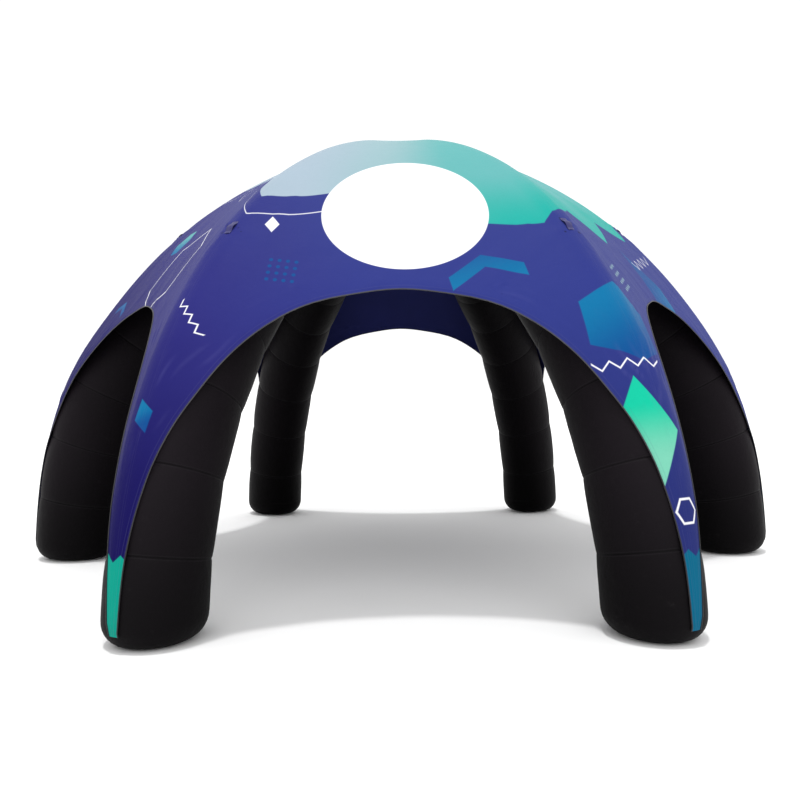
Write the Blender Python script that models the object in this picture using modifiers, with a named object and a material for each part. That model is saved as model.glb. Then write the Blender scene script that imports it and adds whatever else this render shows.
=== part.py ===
"""Six-legged inflatable event tent.

Six air-filled legs curve up to a crown where three arches cross. A printed canopy is
stretched over them: it lies on the outer side of each leg, runs straight from leg to leg
and narrows to a tail down every leg. It is sewn from six panels, one for each arch, with
a seam down the ridge of every leg. Piping follows each arch, and a guy loop is sewn over
the seam on every leg.

Metres, +Z up. The origin is on the ground under the crown, and the front arch faces -Y.
"""
import math

import bmesh
import bpy
import numpy as np

OBJECT_NAME = "inflatable_spider_tent"

# leg name, azimuth in degrees, distance from the centre to the middle of its foot
LEGS = (
    ("mid_right", 0.0, 2.905),
    ("back_right", 60.0, 3.00),
    ("back_left", 120.0, 3.00),
    ("mid_left", 180.0, 2.905),
    ("front_left", 240.0, 3.00),
    ("front_right", 300.0, 3.00),
)
# arch name, index of the leg before it, and which edge width it follows
ARCHES = (
    ("back_right", 0, "side"),
    ("back", 1, "front"),
    ("back_left", 2, "side"),
    ("front_left", 3, "side"),
    ("front", 4, "front"),
    ("front_right", 5, "side"),
)
REFERENCE_FOOT = 3.00

# centre line of a leg: a cubic curve in the upright plane through the leg
KNEE_IN = 0.088
KNEE_HEIGHT = 2.154
SHOULDER_RADIUS = 1.123
CROWN_AXIS_HEIGHT = 3.183

# half of the tube's depth, in the leg's upright plane, and half of its width
HALF_DEPTH_FOOT = 0.331
HALF_DEPTH_MIDDLE = 0.361
HALF_DEPTH_CROWN = 0.410
HALF_WIDTH_FOOT = 0.289
HALF_WIDTH_CROWN = 0.297
TUBE_SIDES = 20

# the foot's rounded edge, as angles along a quarter circle up from the flat sole
FOOT_ROUND = 0.10
FOOT_STEPS = (0.0, 35.0, 70.0, 90.0)
TAIL_END_STEP = 2

# cross seams that draw the tube in, each with a full ring halfway to the next
SEAM_SPACING = 0.55
SEAM_COUNT = 7
SEAM_DEPTH = 0.009

# the crown reaches out to here, and its rings stand on these radii
CROWN_REACH = 0.53
CROWN_RINGS = (0.53, 0.36, 0.18, 0.0)
CROSSING_STEP = 0.0006
GAP = 0.0003

# the canopy
CLOTH_THICKNESS = 0.002
CLOTH_LIFT_RIDGE = 0.0004
CLOTH_LIFT_SIDE = 0.0055
FULL_LIFT_ANGLE = math.radians(24.0)
CHORD_SAG = 0.03
SPAN_ANGLE = math.radians(30.0)
TUBE_COLUMNS = 2
CHORD_COLUMNS = 2
PANEL_GAP = 0.0003
ARCH_TOP = 2.154
ARCH_ROWS = (1.93, 2.065, 2.13, ARCH_TOP)

# height on a leg's ridge, and the canopy's half width there under each kind of arch
EDGE_COLUMNS = ("height", "front", "side")
EDGE_TABLE = (
    (0.00, 0.036, 0.042),
    (0.30, 0.041, 0.057),
    (0.50, 0.050, 0.079),
    (0.70, 0.070, 0.110),
    (0.90, 0.098, 0.144),
    (1.10, 0.134, 0.190),
    (1.30, 0.193, 0.234),
    (1.50, 0.281, 0.283),
    (1.71, 0.390, 0.375),
    (1.92, 0.566, 0.560),
    (2.075, 0.825, 0.830),
    (2.13, 1.070, 1.070),
)

PIPING_RADIUS = 0.004
PIPING_GAP = 0.0004

# the guy loop starts between two of the tube's rings, which stand half a seam spacing apart:
# the lower ring's number, and the share of the way to the next ring where the loop starts
TAB_STARTS = {"front": (9, 0.20), "back": (9, 0.20), "mid": (10, 0.52)}
TAB_STEPS = (0.0, 0.20, 0.40)
TAB_WIDTH = 0.06
TAB_THICKNESS = 0.003
TAB_GAP = 0.0007

FINE_SAMPLES = 2000


# ---- the leg's centre line and its cross-sections ----------------------------------

class Section:
    """An oval section of a leg: its centre, the way its ridge faces and its half sizes."""

    def __init__(self, radius, height, facing, half_depth, half_width, lean):
        self.radius = radius
        self.height = height
        self.facing = facing
        self.half_depth = half_depth
        self.half_width = half_width
        self.lean = lean

    def point(self, angle, lift=0.0):
        """Point at an angle round from the ridge, in the leg's own frame."""
        depth = (self.half_depth + lift) * math.cos(angle)
        across = (self.half_width + lift) * math.sin(angle)
        return np.array((
            self.radius + self.facing[0] * depth,
            across,
            self.height + self.facing[1] * depth,
        ))

    def leaving_angle(self):
        """Where a level line to the next leg leaves the tube as a tangent."""
        flat = self.half_width / self.half_depth
        return math.atan(math.tan(SPAN_ANGLE) * self.lean * flat)


def axis_point(foot_radius, t):
    """Centre of the tube at curve parameter t, with its unit tangent."""
    knots = np.array((
        (foot_radius, 0.0),
        (foot_radius - KNEE_IN, KNEE_HEIGHT),
        (SHOULDER_RADIUS, CROWN_AXIS_HEIGHT),
        (0.0, CROWN_AXIS_HEIGHT),
    ))
    s = 1.0 - t
    weights = (s ** 3, 3 * s * s * t, 3 * s * t * t, t ** 3)
    slopes = (-3 * s * s, 3 * s * s - 6 * s * t, 6 * s * t - 3 * t * t, 3 * t * t)
    centre = sum(w * k for w, k in zip(weights, knots))
    tangent = sum(w * k for w, k in zip(slopes, knots))
    return centre, tangent / np.linalg.norm(tangent)


def half_sizes(t):
    """Half depth and half width of the tube at curve parameter t."""
    depth = (
        HALF_DEPTH_FOOT * (1 - t) * (1 - 2 * t)
        + HALF_DEPTH_MIDDLE * 4 * t * (1 - t)
        + HALF_DEPTH_CROWN * t * (2 * t - 1)
    )
    width = HALF_WIDTH_FOOT + (HALF_WIDTH_CROWN - HALF_WIDTH_FOOT) * t
    return depth, width


def leaning_section(foot_radius, t, squeeze=0.0):
    """Section square to the centre line."""
    centre, tangent = axis_point(foot_radius, t)
    facing = (tangent[1], -tangent[0])
    depth, width = half_sizes(t)
    return Section(centre[0], centre[1], facing, depth - squeeze, width - squeeze, facing[0])


def foot_section(foot_radius, step):
    """Level section on the foot's rounded edge."""
    turn = math.radians(FOOT_STEPS[step])
    height = FOOT_ROUND * (1 - math.cos(turn))
    inset = FOOT_ROUND * (1 - math.sin(turn))
    t = height / (3 * KNEE_HEIGHT)
    centre, tangent = axis_point(foot_radius, t)
    depth, width = half_sizes(t)
    return Section(centre[0], height, (1.0, 0.0), depth - inset, width - inset, tangent[1])


def upright_section(foot_radius, radius):
    """Section in the upright plane at a given radius, near the crown."""
    samples = np.linspace(0.0, 1.0, FINE_SAMPLES + 1)
    radii = np.array([axis_point(foot_radius, t)[0][0] for t in samples])
    t = float(np.interp(-radius, -radii, samples))
    centre, tangent = axis_point(foot_radius, t)
    depth, width = half_sizes(t)
    stretch = 1.0 / abs(tangent[0])
    return Section(radius, centre[1], (0.0, 1.0), depth * stretch, width, tangent[1])


def parameters_by_length(lengths):
    """Curve parameters at distances along the reference leg."""
    samples = np.linspace(0.0, 1.0, FINE_SAMPLES + 1)
    points = np.array([axis_point(REFERENCE_FOOT, t)[0] for t in samples])
    steps = np.linalg.norm(np.diff(points, axis=0), axis=1)
    travelled = np.concatenate(((0.0,), np.cumsum(steps)))
    return [float(np.interp(length, travelled, samples)) for length in lengths]


def ridge_height(t):
    """Height of the reference leg's ridge at curve parameter t."""
    return leaning_section(REFERENCE_FOOT, t).point(0.0)[2]


def parameter_by_ridge(height):
    """Curve parameter at which the reference leg's ridge has a given height."""
    samples = np.linspace(0.0, 1.0, FINE_SAMPLES + 1)
    heights = [ridge_height(t) for t in samples]
    return float(np.interp(height, heights, samples))


SEAM_PARAMETERS = parameters_by_length([SEAM_SPACING * k for k in range(1, SEAM_COUNT + 1)])
FULL_PARAMETERS = parameters_by_length([SEAM_SPACING * (k + 0.5) for k in range(SEAM_COUNT)])
ARCH_PARAMETERS = [parameter_by_ridge(height) for height in ARCH_ROWS]


# ---- air frame ---------------------------------------------------------------------

def leg_sections(foot_radius):
    """Sections of one leg from the sole to the crown."""
    sections = [foot_section(foot_radius, step) for step in range(len(FOOT_STEPS))]
    for full, seam in zip(FULL_PARAMETERS, SEAM_PARAMETERS):
        sections.append(leaning_section(foot_radius, full))
        sections.append(leaning_section(foot_radius, seam, SEAM_DEPTH))
    end = upright_section(foot_radius, CROWN_REACH)
    end.radius += GAP / 2
    sections.append(end)
    return sections


def loft(rings):
    """Closed mesh through rings of points, capped at both ends."""
    mesh = bmesh.new()
    loops = [[mesh.verts.new(point) for point in ring] for ring in rings]
    count = len(loops[0])
    for lower, upper in zip(loops, loops[1:]):
        for i in range(count):
            j = (i + 1) % count
            mesh.faces.new((lower[i], lower[j], upper[j], upper[i]))
    mesh.faces.new(reversed(loops[0]))
    mesh.faces.new(loops[-1])
    bmesh.ops.recalc_face_normals(mesh, faces=mesh.faces)
    return mesh


def ring_points(section):
    """Points round a section, starting at its ridge."""
    step = 2 * math.pi / TUBE_SIDES
    return [section.point(step * i) for i in range(TUBE_SIDES)]


def mesh_data(name, mesh):
    """Store a bmesh as mesh data, shaded smooth on its round faces."""
    data = bpy.data.meshes.new(name)
    mesh.to_mesh(data)
    mesh.free()
    data.shade_smooth()
    data.set_sharp_from_angle(angle=math.radians(50.0))
    return data


def arch_mesh(azimuth, near, far, lower):
    """One of the crown's tubes, from the leg at azimuth to the leg across from it."""
    rings = []
    for radius in CROWN_RINGS:
        rings.append((upright_section(near, radius), 1.0))
    for radius in reversed(CROWN_RINGS[:-1]):
        rings.append((upright_section(far, radius), -1.0))
    turn = math.radians(azimuth)
    points = []
    for section, way in rings:
        section.half_depth -= lower
        if section.radius == CROWN_REACH:
            section.radius -= GAP / 2
        ring = []
        for x, y, z in ring_points(section):
            x *= way
            ring.append((
                x * math.cos(turn) - y * math.sin(turn),
                x * math.sin(turn) + y * math.cos(turn),
                z,
            ))
        points.append(ring)
    return mesh_data("crown_arch", loft(points))


# ---- canopy ------------------------------------------------------------------------

def cloth_rows():
    """Rows of the canopy from tail to crown.

    Each row is a function that gives a leg's section there, and the height of its ridge.
    """
    rows = [
        (lambda foot, step=step: foot_section(foot, step), 0.0)
        for step in range(TAIL_END_STEP, len(FOOT_STEPS))
    ]
    on_leg = sorted(FULL_PARAMETERS + SEAM_PARAMETERS + ARCH_PARAMETERS)
    for t in on_leg:
        rows.append((lambda foot, t=t: leaning_section(foot, t), ridge_height(t)))
    for radius in CROWN_RINGS:
        rows.append((lambda foot, radius=radius: upright_section(foot, radius), math.inf))
    return rows


def edge_width(height, kind):
    """Half width of the canopy where a leg's ridge is at a height, under one kind of arch."""
    table = np.array(EDGE_TABLE)[::-1]
    falls = np.sqrt(1.0 - table[:, 0] / ARCH_TOP)
    here = math.sqrt(1.0 - height / ARCH_TOP)
    return float(np.interp(here, falls, table[:, EDGE_COLUMNS.index(kind)]))


def tube_width(section, angle):
    """Length round the section from the ridge to an angle."""
    steps = np.linspace(0.0, angle, 9)
    points = np.array([section.point(a) for a in steps])
    return float(np.linalg.norm(np.diff(points, axis=0), axis=1).sum())


def lift_at(angle):
    """How far the canopy's inner face lies off the tube, at an angle from the ridge."""
    part = min(angle / FULL_LIFT_ANGLE, 1.0)
    return CLOTH_LIFT_RIDGE + (CLOTH_LIFT_SIDE - CLOTH_LIFT_RIDGE) * part


def turned(point, azimuth, side):
    """Move a point from a leg's own frame, on one side of its ridge, into the tent's."""
    turn = math.radians(azimuth)
    x, y, z = point[0], point[1] * side, point[2]
    return np.array((
        x * math.cos(turn) - y * math.sin(turn),
        x * math.sin(turn) + y * math.cos(turn),
        z,
    ))


def leaving_point(row_section, leg, side):
    """Where the canopy leaves a leg, in the tent's frame, and how far the leg leans there."""
    azimuth, foot = LEGS[leg][1:]
    section = row_section(foot)
    angle = section.leaving_angle()
    return turned(section.point(angle, lift_at(angle)), azimuth, side), section.lean


def cloth_row(row, leg, side, kind):
    """Points of one row from a leg's ridge towards the next leg on one side."""
    row_section, height = row
    azimuth, foot = LEGS[leg][1:]
    section = row_section(foot)
    leaving = section.leaving_angle()
    on_tube = tube_width(section, leaving)
    start, lean = leaving_point(row_section, leg, side)
    other, other_lean = leaving_point(row_section, (leg + side) % len(LEGS), -side)
    middle = (start + other) / 2
    lean = (lean + other_lean) / 2
    half_span = float(np.linalg.norm(middle - start))
    reaches_middle = height >= ARCH_TOP - 1e-6
    width = on_tube + half_span if reaches_middle else edge_width(height, kind)

    if width <= on_tube and not reaches_middle:
        last = leaving * width / on_tube
        angles = np.linspace(0.0, last, TUBE_COLUMNS + CHORD_COLUMNS + 1)
        return [turned(section.point(a, lift_at(a)), azimuth, side) for a in angles]

    angles = np.linspace(0.0, leaving, TUBE_COLUMNS + 1)
    points = [turned(section.point(a, lift_at(a)), azimuth, side) for a in angles]
    outward = np.array((middle[0], middle[1], 0.0))
    length = float(np.linalg.norm(outward))
    outward = outward / length if length > 1e-6 else outward
    inward = -(outward * lean + np.array((0.0, 0.0, math.sqrt(1 - lean ** 2))))
    share = (width - on_tube) / half_span if half_span > 1e-6 else 1.0
    for i in range(1, CHORD_COLUMNS + 1):
        part = share * i / CHORD_COLUMNS
        sag = CHORD_SAG * half_span * (1 - (1 - part) ** 2)
        points.append(start + (middle - start) * part + inward * sag)
    return points


def panel_halves(arch, rows):
    """Rows of points for the two halves of an arch's panel, and each half's side of its leg.

    The panel stands out from the centre by the panel gap, which opens the seams beside it.
    """
    name, leg, kind = ARCHES[arch]
    middle = LEGS[leg][1] + math.degrees(SPAN_ANGLE)
    shift = turned((PANEL_GAP, 0.0, 0.0), middle, 1)
    halves = []
    for owner, side in ((leg, 1), ((leg + 1) % len(LEGS), -1)):
        lines = np.array([cloth_row(row, owner, side, kind) for row in rows])
        halves.append((lines + shift, side))
    return halves


def panel_mesh(arch):
    """Inner face of one panel of the canopy as an open sheet."""
    mesh = bmesh.new()
    for lines, side in panel_halves(arch, cloth_rows()):
        grid = [[mesh.verts.new(point) for point in line] for line in lines]
        for lower, upper in zip(grid, grid[1:]):
            for i in range(len(lower) - 1):
                corners = (lower[i], lower[i + 1], upper[i + 1], upper[i])
                mesh.faces.new(corners if side > 0 else reversed(corners))
    bmesh.ops.remove_doubles(mesh, verts=mesh.verts, dist=0.0001)
    bmesh.ops.dissolve_degenerate(mesh, edges=mesh.edges, dist=0.00001)
    return mesh


# ---- piping and loops --------------------------------------------------------------

def edge_line(arch):
    """The canopy's edge round one arch, with the cloth's outward normal at each point."""
    rows = [row for row in cloth_rows() if row[1] <= ARCH_TOP + 1e-6]
    halves = []
    for lines, side in panel_halves(arch, rows):
        edge = lines[:, -1]
        along = np.gradient(edge, axis=0)
        across = edge - lines[:, -2]
        normal = np.cross(across, along) * side
        normal /= np.linalg.norm(normal, axis=1)[:, None]
        halves.append((edge, normal))
    edge = np.concatenate((halves[0][0], halves[1][0][-2::-1]))
    normal = np.concatenate((halves[0][1], halves[1][1][-2::-1]))
    return edge, normal


def piping_path(arch):
    """Centre line of the piping, just outside the canopy's edge."""
    edge, normal = edge_line(arch)
    along = np.gradient(edge, axis=0)
    along /= np.linalg.norm(along, axis=1)[:, None]
    outward = np.cross(along, normal)
    clear = PIPING_RADIUS + PIPING_GAP
    return edge + outward * clear + normal * PIPING_RADIUS


def material(name, colour, roughness):
    """A Principled material of one colour."""
    made = bpy.data.materials.new(name)
    made.use_nodes = True
    shader = made.node_tree.nodes["Principled BSDF"]
    shader.inputs["Base Color"].default_value = (*colour, 1.0)
    shader.inputs["Roughness"].default_value = roughness
    shader.inputs["Metallic"].default_value = 0.0
    made.diffuse_color = (*colour, 1.0)
    return made


def add_object(name, data, look, parts):
    """Put an object in the parts collection with its own material."""
    made = bpy.data.objects.new(name, data)
    parts.objects.link(made)
    if not data.materials:
        data.materials.append(look)
    made.material_slots[0].link = "OBJECT"
    made.material_slots[0].material = look
    return made


def add_legs(parts, root):
    """Six legs: those at one distance share a mesh."""
    meshes = {}
    for name, azimuth, foot in LEGS:
        if foot not in meshes:
            rings = [ring_points(section) for section in leg_sections(foot)]
            meshes[foot] = mesh_data("leg", loft(rings))
        look = material("leg_" + name, (0.012, 0.011, 0.012), 0.55)
        leg = add_object("leg_" + name, meshes[foot], look, parts)
        leg.rotation_euler.z = math.radians(azimuth)
        leg.parent = root


def add_crown(parts, cutters, root):
    """Three crossing tubes joined into one body."""
    look = material("crown", (0.012, 0.011, 0.012), 0.55)
    crown = None
    for i in range(3):
        near, far = LEGS[i], LEGS[i + 3]
        data = arch_mesh(near[1], near[2], far[2], CROSSING_STEP * i)
        if crown is None:
            crown = add_object("crown", data, look, parts)
            crown.parent = root
            continue
        arch = bpy.data.objects.new("crown_arch", data)
        cutters.objects.link(arch)
        arch.hide_render = True
        arch.display_type = "WIRE"
        union = crown.modifiers.new("join", "BOOLEAN")
        union.operation = "UNION"
        union.solver = "EXACT"
        union.object = arch


def add_canopy(parts, root):
    """The six panels of the printed canopy, thickened outwards."""
    for i, (name, _, _) in enumerate(ARCHES):
        look = material("canopy_" + name, (0.055, 0.050, 0.260), 0.45)
        data = mesh_data("canopy_" + name, panel_mesh(i))
        panel = add_object("canopy_" + name, data, look, parts)
        panel.parent = root
        thicken = panel.modifiers.new("thickness", "SOLIDIFY")
        thicken.thickness = CLOTH_THICKNESS
        thicken.offset = 1.0
        thicken.use_even_offset = True


def add_piping(parts, root):
    """A cord along each arch of the canopy."""
    for i, (name, _, _) in enumerate(ARCHES):
        path = piping_path(i)
        curve = bpy.data.curves.new("piping_" + name, "CURVE")
        curve.dimensions = "3D"
        curve.bevel_depth = PIPING_RADIUS
        curve.bevel_resolution = 0
        curve.use_fill_caps = True
        spline = curve.splines.new("POLY")
        spline.points.add(len(path) - 1)
        for point, place in zip(spline.points, path):
            point.co = (*place, 1.0)
        look = material("piping_" + name, (0.030, 0.030, 0.034), 0.5)
        add_object("piping_" + name, curve, look, parts).parent = root


def tab_mesh(foot, ring, share):
    """A loop of webbing lying flat on the canopy along a leg's ridge."""
    lengths = [SEAM_SPACING / 2 * ring, SEAM_SPACING / 2 * (ring + 1)]
    lower, upper = [leaning_section(foot, t) for t in parameters_by_length(lengths)]
    turn = TAB_WIDTH / 2 / lower.half_width
    mesh = bmesh.new()
    grid = []
    for step in TAB_STEPS:
        row = []
        for angle in (-turn, 0.0, turn):
            lift = lift_at(abs(angle)) + CLOTH_THICKNESS + TAB_GAP
            start = lower.point(angle, lift)
            end = upper.point(angle, lift)
            row.append(mesh.verts.new(start + (end - start) * (share + step)))
        grid.append(row)
    for near, far in zip(grid, grid[1:]):
        for i in range(len(near) - 1):
            mesh.faces.new((near[i], near[i + 1], far[i + 1], far[i]))
    return mesh


def add_tabs(parts, root):
    """A guy loop on every leg."""
    meshes = {}
    for name, azimuth, foot in LEGS:
        ring, share = TAB_STARTS[name.split("_")[0]]
        if ring not in meshes:
            meshes[ring] = mesh_data("guy_loop", tab_mesh(foot, ring, share))
        look = material("guy_loop_" + name, (0.030, 0.030, 0.160), 0.5)
        tab = add_object("guy_loop_" + name, meshes[ring], look, parts)
        tab.rotation_euler.z = math.radians(azimuth)
        tab.parent = root
        thicken = tab.modifiers.new("thickness", "SOLIDIFY")
        thicken.thickness = TAB_THICKNESS
        thicken.offset = 1.0


def main():
    for old in list(bpy.data.objects):
        bpy.data.objects.remove(old, do_unlink=True)
    parts = bpy.data.collections.new(OBJECT_NAME)
    cutters = bpy.data.collections.new("cutters")
    bpy.context.scene.collection.children.link(parts)
    bpy.context.scene.collection.children.link(cutters)
    root = bpy.data.objects.new("tent_centre", None)
    parts.objects.link(root)
    add_legs(parts, root)
    add_crown(parts, cutters, root)
    add_canopy(parts, root)
    add_piping(parts, root)
    add_tabs(parts, root)


main()
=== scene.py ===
"""Looks of the six-legged inflatable event tent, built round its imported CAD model.

The air frame, the printed canopy, its piping and its guy loops are modelled again in
detail over the CAD source's own curves, and stand for the CAD's plain solids.
"""

import math
from collections import namedtuple
from contextlib import contextmanager

import bmesh
import bpy
import numpy as np
from mathutils import Matrix, Vector


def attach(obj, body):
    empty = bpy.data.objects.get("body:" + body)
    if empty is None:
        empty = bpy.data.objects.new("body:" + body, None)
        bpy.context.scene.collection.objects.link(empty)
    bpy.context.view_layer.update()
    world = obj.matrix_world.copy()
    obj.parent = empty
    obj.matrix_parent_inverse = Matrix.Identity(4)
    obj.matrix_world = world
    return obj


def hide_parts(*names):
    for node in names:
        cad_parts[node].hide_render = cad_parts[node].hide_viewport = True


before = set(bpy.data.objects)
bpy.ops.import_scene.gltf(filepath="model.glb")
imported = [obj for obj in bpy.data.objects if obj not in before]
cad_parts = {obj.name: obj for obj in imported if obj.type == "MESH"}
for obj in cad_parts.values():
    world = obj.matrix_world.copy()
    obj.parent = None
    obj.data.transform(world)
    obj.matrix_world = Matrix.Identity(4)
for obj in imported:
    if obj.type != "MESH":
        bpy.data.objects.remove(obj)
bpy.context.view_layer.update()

# ---- named sizes in metres, the same as in the CAD source ----

# leg name, azimuth in degrees, distance from the centre to the middle of its foot
LEGS = (
    ("mid_right", 0.0, 2.905),
    ("back_right", 60.0, 3.00),
    ("back_left", 120.0, 3.00),
    ("mid_left", 180.0, 2.905),
    ("front_left", 240.0, 3.00),
    ("front_right", 300.0, 3.00),
)
# arch name, index of the leg before it, and which edge width it follows
ARCHES = (
    ("back_right", 0, "side"),
    ("back", 1, "front"),
    ("back_left", 2, "side"),
    ("front_left", 3, "side"),
    ("front", 4, "front"),
    ("front_right", 5, "side"),
)
REFERENCE_FOOT = 3.00
KNEE_IN = 0.088
KNEE_HEIGHT = 2.154
SHOULDER_RADIUS = 1.123
CROWN_AXIS_HEIGHT = 3.183
HALF_DEPTH_FOOT = 0.331
HALF_DEPTH_MIDDLE = 0.361
HALF_DEPTH_CROWN = 0.410
HALF_WIDTH_FOOT = 0.289
HALF_WIDTH_CROWN = 0.297
TAIL_END_TURN = 70.0
CROWN_REACH = 0.53
CLOTH_THICKNESS = 0.002
CLOTH_LIFT_SIDE = 0.0055
FULL_LIFT_ANGLE = math.radians(24.0)
CHORD_SAG = 0.03
SPAN_ANGLE = math.radians(30.0)
ARCH_TOP = 2.154
PIPING_RADIUS = 0.004
PIPING_GAP = 0.0004

# ---- sizes that differ a little from those of the CAD source ----

FOOT_ROUND = 0.15
SEAM_SPACING = 0.505
SEAM_COUNT = 8
CLOTH_LIFT_RIDGE = 0.0009
EDGE_COLUMNS = ("height", "front", "side")
EDGE_TABLE = (
    (0.00, 0.032, 0.032),
    (0.30, 0.041, 0.057),
    (0.50, 0.050, 0.079),
    (0.70, 0.070, 0.110),
    (0.90, 0.098, 0.144),
    (1.10, 0.134, 0.190),
    (1.30, 0.193, 0.234),
    (1.50, 0.281, 0.283),
    (1.71, 0.390, 0.375),
    (1.92, 0.566, 0.560),
    (2.075, 0.825, 0.830),
    (2.13, 1.070, 1.070),
)
# how much narrower the canopy is beside some legs: depth, and the heights at which the
# tuck starts, is deepest and ends
TUCKS = {
    "mid_side": (0.065, 0.15, 0.85, 1.75),
    "back_side": (0.085, 0.7, 1.5, 1.98),
}
TUCK_POWER = 0.7

# how each real leg differs from the plain one below its shoulder, in the order of LEGS:
# added half depth and half width, shift outwards and sideways, and lean outwards
LEG_TRAITS = (
    (0.000, 0.004, -0.010, 0.000, 0.028),
    (0.004, 0.010, 0.000, -0.004, 0.0),
    (0.004, 0.012, 0.000, -0.004, 0.0),
    (0.017, 0.006, 0.004, 0.000, 0.028),
    (0.004, 0.010, 0.000, 0.011, 0.0),
    (0.004, 0.006, 0.000, 0.008, 0.0),
)
# the heights where the traits start and are full, and the height that a lean turns about
TRAIT_FADE = (2.25, 1.45)
LEAN_PIVOT = 0.80

# ---- sizes of the visual meshes ----

FINE_SAMPLES = 4000
SHARP_ANGLE = 60.0
# the legs' rows, with extra ones beside each seam, and where their relief fades out
LEG_SIDES = 72
LEG_STEP = 0.024
ROW_CLEARANCE = 0.010
SEAM_OFFSETS = (0.003, 0.007, 0.013, 0.024)
SEAM_CLEARANCE = 0.004
FOOT_STEPS = 9
SOLE_SHARES = (0.25, 0.5, 0.75, 0.92)
FOOT_CALM = 0.12
TUBE_RADIUS = 0.31
# the joint between legs and crown: how far its effects reach along a tube, and its gap
TILT_REACH = 0.30
SQUEEZE_REACH = 0.06
SQUEEZE_DEPTH = 0.006
JOINT_GAP = 0.0002
# the crown's rows, and how much smaller each of its tubes is than the one before
CROWN_STARTS = (0.0, 0.004, 0.012)
CROWN_ROWS_FROM = 0.03
CROWN_STEPS = 16
CROWN_STEP_IN = 0.0006
CROWN_WELD = 0.0005
CROWN_SHARP_ANGLE = 35.0
CROWN_SEAM_OFFSET = 0.004
# the canopy's rows and columns; APEX_STEPS bunch the rows below the arches' top
CANOPY_COLUMNS = 30
CANOPY_STEP = 0.034
TAIL_STEP = 0.055
TAIL_TOP = 1.15
APEX_STEPS = (0.02, 0.04, 0.06, 0.08, 0.10, 0.12, 0.145, 0.17)
ARC_STEPS = 33
WIDEST_SHARE = 0.9995
TINY = 1e-6
FAR = 9.0
SHEET_WELD = 0.0001
PIPING_SIDES = 8

# relief of the air frame's skin, whose waves are (wavelength, weight, count)
SKIN_BROAD = ((0.9, 1.0, 4), (0.38, 0.5, 6))
SKIN_FINE = ((0.14, 1.0, 8), (0.07, 0.5, 8))
SKIN_BROAD_DEPTH = 0.0022
SKIN_FINE_DEPTH = 0.0006
SEAM_WOBBLE = 0.004
PILLOW_DEPTH = 0.0085
PILLOW_POWER = 2.6
GROOVE_DEPTH = 0.0055
GROOVE_WIDTH = 0.0085
PUCKERS = ((0.11, 1.0, 6), (0.05, 0.5, 6))
PUCKER_DEPTH = 0.0022
PUCKER_REACH = 0.05

# relief of the canopy; a pair names where something starts or ends, and over what reach
CLOTH_BROAD = ((1.3, 1.0, 6), (0.6, 0.4, 8))
CLOTH_BROAD_HEIGHT = 0.0018
SLACK_FOLDS = ((0.34, 1.0, 9), (0.17, 0.45, 9))
SLACK_START = (0.30, 0.25)
SLACK_HEIGHT = 0.0055
RIPPLE_PITCH = 0.085
RIPPLE_HEIGHT = 0.0042
RIPPLE_REACH = 0.16
TAIL_CALM = (0.9, 0.5)
FOLDS_PER_ARCH = 12
FOLD_TURNS = (-24.0, 24.0)
FOLD_SLANTS = (-0.5, 0.5)
FOLD_WIDTHS = (0.022, 0.045)
FOLD_HEIGHTS = (0.0025, 0.0060)
FOLD_REACHES = (0.12, 0.34)
HAUNCH_PULL = 0.0085
HAUNCH_PITCH = 0.075
HAUNCH_PATCHES = ((0.42, 1.0, 9), (0.23, 0.6, 9))
HAUNCH_FOOT = (0.9, 0.4)
HAUNCH_TOP = (2.12, 0.2)
HAUNCH_NEAR = (0.035, 0.06)
HAUNCH_FAR = (0.34, 0.16)
LOOP_PULL = 0.0120
LOOP_PULL_REACH = 0.17
CREASE_FROM_RIDGE = 0.24
CREASE_HEIGHT = 0.0035
CREASE_WIDTH = 0.035
CREASE_FOOT = (2.0, 0.5)
CREASE_TOP = (3.6, 0.4)

LOOP_LENGTH = 0.115
LOOP_WIDTH = 0.050
LOOP_THICKNESS = 0.0016
LOOP_RISE = 0.012
LOOP_CLEARANCE = 0.0048
LOOP_BOW = 0.0008
LOOP_FREE = 0.34
LOOP_SHARP_ANGLE = 50.0
LOOP_ROWS = 25
LOOP_COLUMNS = 9
LOOP_AT = {"front": 2.585, "back": 2.585, "mid": 2.93}


# ---- shape of the tubes ----

def smooth(share):
    """A share from 0 to 1, eased at both ends."""
    share = np.clip(share, 0.0, 1.0)
    return share * share * (3 - 2 * share)


def rising(x, start, reach):
    """Zero up to start, one from a reach above it, and straight between."""
    return np.clip((x - start) / reach, 0, 1)


def falling(x, end, reach):
    """One up to a reach below end, zero from there on, and straight between."""
    return np.clip((end - x) / reach, 0, 1)


def circle(sides):
    """Angles of the points round a tube."""
    return np.linspace(0, math.tau, sides, endpoint=False)


def turned_from(heading, middle):
    """Signed angle of headings from a middle one."""
    return (heading - middle + math.pi) % math.tau - math.pi


def unit(vectors):
    """Vectors in the same directions, one long."""
    return vectors / np.linalg.norm(vectors, axis=1)[:, None]


def run_lengths(points):
    """Length along each line of points from its start."""
    steps = np.linalg.norm(np.diff(points, axis=-2), axis=-1)
    start = np.zeros(steps.shape[:-1] + (1,))
    return np.concatenate((start, np.cumsum(steps, axis=-1)), axis=-1)


def axis(foot, t):
    """Centre of a leg's tube at curve parameters t, and its unit tangent: radius, height."""
    t = np.atleast_1d(np.asarray(t, float))[:, None]
    knots = np.array((
        (foot, 0.0),
        (foot - KNEE_IN, KNEE_HEIGHT),
        (SHOULDER_RADIUS, CROWN_AXIS_HEIGHT),
        (0.0, CROWN_AXIS_HEIGHT),
    ))
    s = 1.0 - t
    centre = s ** 3 * knots[0] + 3 * s * s * t * knots[1] + 3 * s * t * t * knots[2]
    centre = centre + t ** 3 * knots[3]
    tangent = 3 * s * s * (knots[1] - knots[0]) + 6 * s * t * (knots[2] - knots[1])
    tangent = tangent + 3 * t * t * (knots[3] - knots[2])
    return centre, unit(tangent)


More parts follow.
